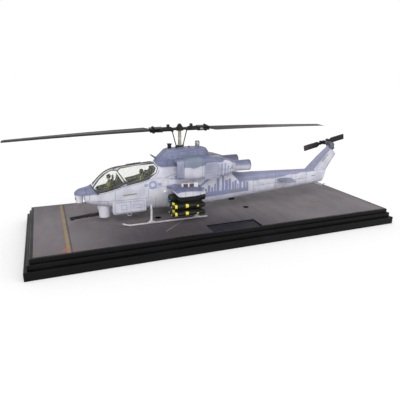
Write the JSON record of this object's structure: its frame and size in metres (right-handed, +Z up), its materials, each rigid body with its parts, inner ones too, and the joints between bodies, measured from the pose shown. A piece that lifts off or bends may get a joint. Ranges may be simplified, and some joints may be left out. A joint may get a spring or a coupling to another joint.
{
  "type": "attack helicopter display model",
  "caption": "Scale model of a twin-engine attack helicopter with rotors, chin gun, stub wings and crew, standing on a stepped black plinth with a printed deck.",
  "frame": {"origin": "centre of the plinth's flat underside", "axes": "+Z up, -X towards the helicopter's nose, +Y to its starboard side"},
  "size_m": [0.3608, 0.1384, 0.102],
  "materials": {
    "plinth_black": "satin moulded black",
    "cover_black": "matt moulded black",
    "screw_steel": "zinc-plated steel",
    "deck_print": "matt printed sheet with worn deck markings",
    "name_plate_black": "semi-gloss blank plate",
    "hull_paint": "satin lavender grey over blue-grey, panel-lined",
    "upper_paint": "satin blue-grey, panel-lined",
    "bay_paint": "satin lavender grey",
    "canopy_frame_paint": "satin off-white lavender",
    "canopy_glass": "clear polished",
    "hinge_steel": "dull steel",
    "cockpit_grey": "matt dark grey",
    "panel_black": "matt black with small instruments",
    "seat_cushion": "matt woven olive",
    "crew_paint": "matt hand-painted olive and tan",
    "fairing_paint": "satin blue-grey, panel-lined",
    "cowl_paint": "satin blue-grey over lavender grey",
    "intake_paint": "satin grey-blue",
    "grille_paint": "satin ribbed grey-blue",
    "exhaust_paint": "satin grey, sooted inside",
    "lamp_silver": "bright faceted silver",
    "fitting_black": "matt black",
    "cutter_paint": "satin blue-grey",
    "beacon_red": "glossy red lens",
    "mast_paint": "satin beige-grey",
    "rotor_head_black": "satin black",
    "bolt_steel": "dark oiled steel",
    "blade_black": "matt near-black, worn to brown-grey",
    "gearbox_grey": "satin mid grey",
    "store_green": "satin black-green with yellow bands",
    "rack_black": "satin black",
    "wing_paint": "satin blue-grey above, pale grey edge",
    "dispenser_paint": "satin pale grey with a brown cell face",
    "skid_paint": "satin light grey",
    "turret_paint": "satin lavender grey",
    "gun_steel": "dark gunmetal",
    "sight_paint": "satin lavender grey",
    "sight_glass": "dark coated glass"
  },
  "bodies": {
    "display": {"base_plinth": "plinth_black", "base_cover": "cover_black", "cover_screws": "screw_steel", "deck_panel": "deck_print", "name_plate": "name_plate_black", "fuselage_port": "hull_paint", "fuselage_starboard": "hull_paint", "nose_cap": "upper_paint", "ammo_bay": "bay_paint", "canopy_frame": "canopy_frame_paint", "door_hinge_pins": "hinge_steel", "fixed_side_windows": "canopy_glass", "windshield": "canopy_glass", "cockpit_tub": "cockpit_grey", "crew_seats": "seat_cushion", "instrument_panels": "panel_black", "gunner_figure": "crew_paint", "pilot_figure": "crew_paint", "jammer_lamp": "lamp_silver", "aerials": "fitting_black", "wire_cutter": "cutter_paint", "beacon": "beacon_red", "mast_fairing": "fairing_paint", "engine_cowls": "cowl_paint", "engine_intakes": "intake_paint", "cooling_grilles": "grille_paint", "exhaust_ducts": "exhaust_paint", "tail_gearbox": "gearbox_grey", "stabilisers": "upper_paint", "tail_skid": "skid_paint", "stub_wings": "wing_paint", "pylons": "wing_paint", "missile_racks": "rack_black", "missiles": "store_green", "rocket_pods": "store_green", "flare_dispensers": "dispenser_paint", "skid_tubes": "skid_paint", "skid_saddles": "skid_paint", "skid_legs": "skid_paint"},
    "main_rotor": {"main_mast": "mast_paint", "rotor_yoke": "rotor_head_black", "mast_nut": "bolt_steel", "swashplate": "rotor_head_black", "pitch_links": "rotor_head_black", "blade_grips": "rotor_head_black", "grip_bolts": "bolt_steel", "drag_braces": "rotor_head_black", "main_blades": "blade_black"},
    "tail_rotor": {"tail_shaft": "bolt_steel", "tail_hub": "rotor_head_black", "tail_blades": "blade_black"},
    "chin_turret": {"turret_body": "turret_paint"},
    "gun": {"gun_cradle": "gun_steel", "gun_barrels": "gun_steel"},
    "nose_sight": {"sight_turret": "sight_paint", "sight_window": "sight_glass"},
    "gunner_door": {"gunner_door_frame": "canopy_frame_paint", "gunner_door_window": "canopy_glass"},
    "pilot_door": {"pilot_door_frame": "canopy_frame_paint", "pilot_door_window": "canopy_glass"}
  },
  "joints": [
    {"name": "main_rotor_spin", "type": "hinge", "parent": "display", "child": "main_rotor", "pos_m": [-0.0326, 0, 0.075], "axis": [0, 0, 1], "continuous": true},
    {"name": "tail_rotor_spin", "type": "hinge", "parent": "display", "child": "tail_rotor", "pos_m": [0.1428, 0.005, 0.0739], "axis": [0, 1, 0], "continuous": true},
    {"name": "turret_yaw", "type": "hinge", "parent": "display", "child": "chin_turret", "pos_m": [-0.1068, 0, 0.031], "axis": [0, 0, 1], "range_deg": [-100, 100]},
    {"name": "gun_elevation", "type": "hinge", "parent": "chin_turret", "child": "gun", "pos_m": [-0.1094, 0, 0.0227], "axis": [0, 1, 0], "range_deg": [-3, 22]},
    {"name": "sight_yaw", "type": "hinge", "parent": "display", "child": "nose_sight", "pos_m": [-0.128, 0, 0.0435], "axis": [0, 0, 1], "range_deg": [-110, 110]},
    {"name": "gunner_door_hinge", "type": "hinge", "parent": "display", "child": "gunner_door", "pos_m": [-0.1016, -0.0046, 0.06275], "axis": [-0.9363, 0, -0.3511], "range_deg": [0, 65]},
    {"name": "pilot_door_hinge", "type": "hinge", "parent": "display", "child": "pilot_door", "pos_m": [-0.084, 0.0046, 0.06575], "axis": [0.9963, 0, 0.0854], "range_deg": [0, 65]}
  ]
}
